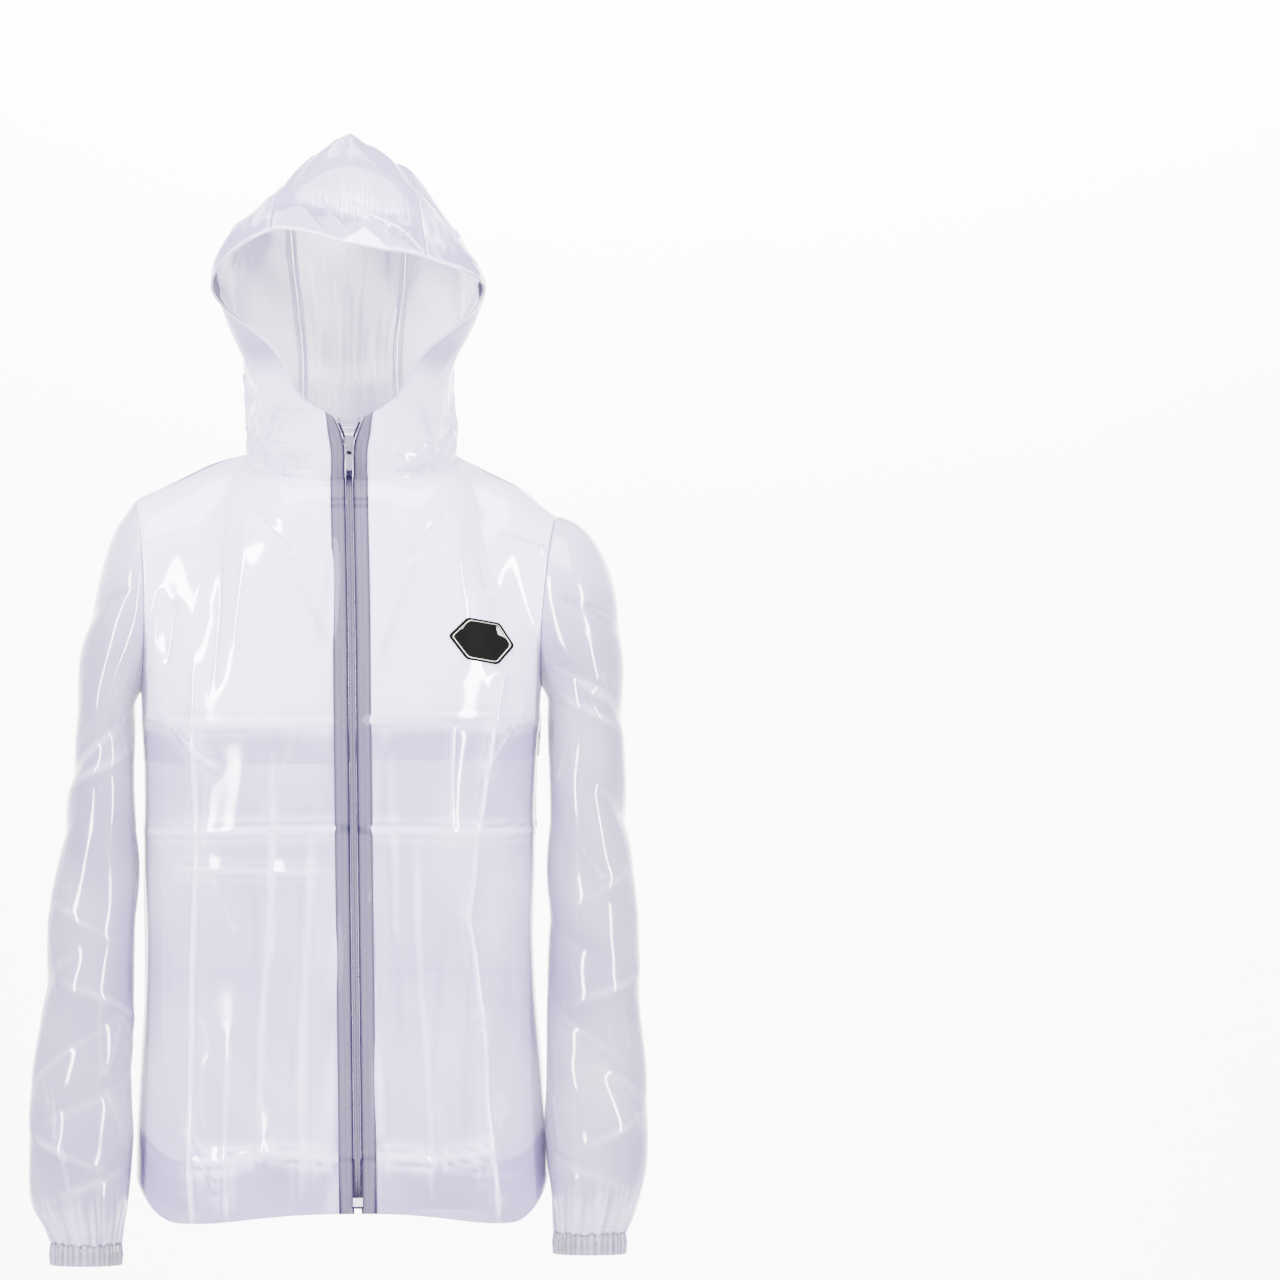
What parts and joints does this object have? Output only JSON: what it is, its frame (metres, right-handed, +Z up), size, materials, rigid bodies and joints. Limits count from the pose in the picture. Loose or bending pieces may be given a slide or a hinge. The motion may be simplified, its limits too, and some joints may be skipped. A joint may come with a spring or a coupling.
{
  "type": "raincoat",
  "caption": "Hooded see-through raincoat, filled out as worn, with a front zip, a vented back yoke, gathered cuffs and open hollows for the wearer.",
  "frame": {"origin": "inside the neck, between the shoulders, level with the front end of the neck seam, where the wearer's shoulders hold the coat up", "axes": "+Z up, the front with its zip faces -Y, +X is the coat's own left side"},
  "size_m": [0.5583, 0.2478, 1.0164],
  "materials": {
    "film": "clear milky PVC film, glossy",
    "hem_film": "clear milky PVC film, a folded layer",
    "tape": "woven zip tape seen through welded film",
    "coil": "dyed nylon monofilament coil",
    "elastic": "film gathered on elastic",
    "zinc": "plated zinc die casting, satin",
    "badge": "moulded soft PVC, bare",
    "snap": "clear moulded snap cap",
    "dot": "dyed moulded cap"
  },
  "bodies": {
    "coat": {"front_right": "film", "front_left": "film", "back_yoke": "film", "back_lower": "film", "sleeve_right": "film", "sleeve_left": "film", "hood_right": "film", "hood_centre": "film", "hood_left": "film", "hood_hem": "hem_film", "hem_band_front_right": "hem_film", "hem_band_front_left": "hem_film", "hem_band_back": "hem_film", "zip_tape_right": "tape", "zip_tape_left": "tape", "zip_coil_right": "coil", "zip_coil_left": "coil", "zip_top_stop_right": "zinc", "zip_top_stop_left": "zinc", "zip_slider": "zinc", "zip_box": "snap", "chest_badge": "badge", "neck_dot": "dot", "flap_snap": "snap", "cuff_right": "elastic", "cuff_left": "elastic"},
    "tab": {"pull_tab": "zinc"}
  },
  "joints": [
    {"name": "pull_tab_swing", "type": "hinge", "parent": "coat", "child": "tab", "pos_m": [-0.0018, -0.08923, 0.03], "axis": [-1, 0, 0], "range_deg": [0, 170]}
  ]
}
